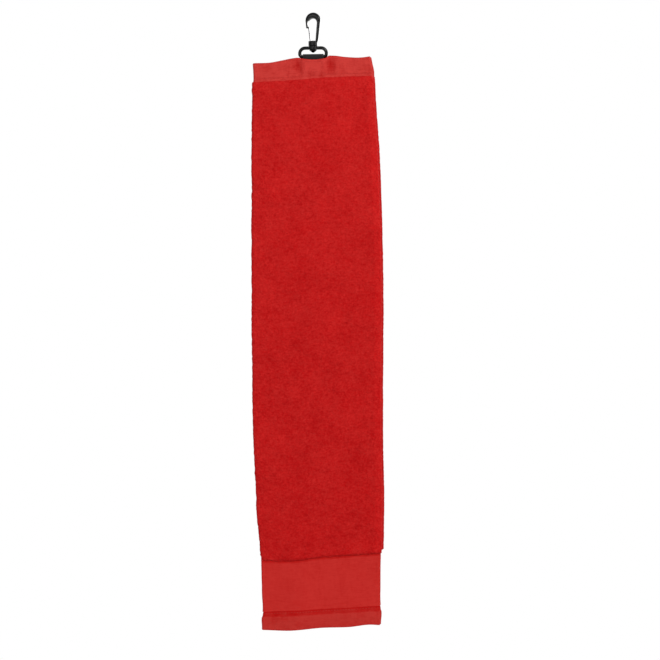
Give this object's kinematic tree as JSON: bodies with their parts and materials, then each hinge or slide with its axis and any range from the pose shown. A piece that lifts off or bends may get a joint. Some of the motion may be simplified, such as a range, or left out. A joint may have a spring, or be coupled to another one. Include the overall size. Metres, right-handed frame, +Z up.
{
  "type": "golf towel",
  "caption": "Tri-fold red cotton golf towel, sewn across its heading to a black tape that loops round the ring of a plastic swivel snap hook.",
  "frame": {"origin": "bight of the snap hook, the lowest point of its inner crown, where it hangs on a bag's ring", "axes": "+Z up along the hook's post and away from the towel, -Y out of the towel's front, +X to the right seen from the front"},
  "size_m": [0.135, 0.013, 0.6485],
  "materials": {
    "pile_cloth": "matte",
    "flat_weave": "matte",
    "sewing_thread": "satin",
    "black_tape": "matte",
    "black_plastic": "gloss"
  },
  "bodies": {
    "hook": {"hook_body": "black_plastic"},
    "gate": {"spring_gate": "black_plastic"},
    "ring": {"swivel_ring": "black_plastic"},
    "towel": {"hanging_tape": "black_tape", "tape_box_stitch": "sewing_thread", "centre_heading": "flat_weave", "centre_pile": "pile_cloth", "centre_border": "flat_weave", "centre_bottom_hem": "flat_weave", "front_heading": "flat_weave", "front_pile_sewn": "pile_cloth", "front_border_sewn": "flat_weave", "front_bottom_hem_sewn": "flat_weave", "back_heading": "flat_weave", "back_pile_sewn": "pile_cloth", "back_border_sewn": "flat_weave", "back_bottom_hem_sewn": "flat_weave", "centre_heading_stitch": "sewing_thread", "front_heading_stitch": "sewing_thread", "back_heading_stitch": "sewing_thread", "centre_bottom_stitch": "sewing_thread"},
    "front_leaf": {"front_pile_free": "pile_cloth", "front_side_hem": "pile_cloth", "front_border_free": "flat_weave", "front_bottom_hem_free": "flat_weave", "front_bottom_stitch": "sewing_thread", "front_side_stitch": "sewing_thread"},
    "back_leaf": {"back_pile_free": "pile_cloth", "back_side_hem": "pile_cloth", "back_border_free": "flat_weave", "back_bottom_hem_free": "flat_weave", "back_bottom_stitch": "sewing_thread", "back_side_stitch": "sewing_thread"}
  },
  "joints": [
    {"name": "gate_press", "type": "hinge", "parent": "hook", "child": "gate", "pos_m": [-0.00222, 0.0006, -0.02495], "axis": [0.2588, 0.9659, 0], "range_deg": [0, 25], "stiffness_Nm_per_rad": 0.03, "springref_deg": -8.59},
    {"name": "swivel_spin", "type": "hinge", "parent": "hook", "child": "ring", "pos_m": [0, 0, -0.0293], "axis": [0, 0, 1], "continuous": true},
    {"name": "towel_swing", "type": "hinge", "parent": "ring", "child": "towel", "pos_m": [0, 0, -0.04018], "axis": [1, 0, 0], "range_deg": [-90, 90]},
    {"name": "front_leaf_open", "type": "hinge", "parent": "towel", "child": "front_leaf", "pos_m": [0.00425, -0.0062, -0.35647], "axis": [-0.2078, 0, -0.9782], "range_deg": [0, 160]},
    {"name": "back_leaf_open", "type": "hinge", "parent": "towel", "child": "back_leaf", "pos_m": [-0.00425, 0.0062, -0.35647], "axis": [0.2078, 0, -0.9782], "range_deg": [0, 160]}
  ]
}
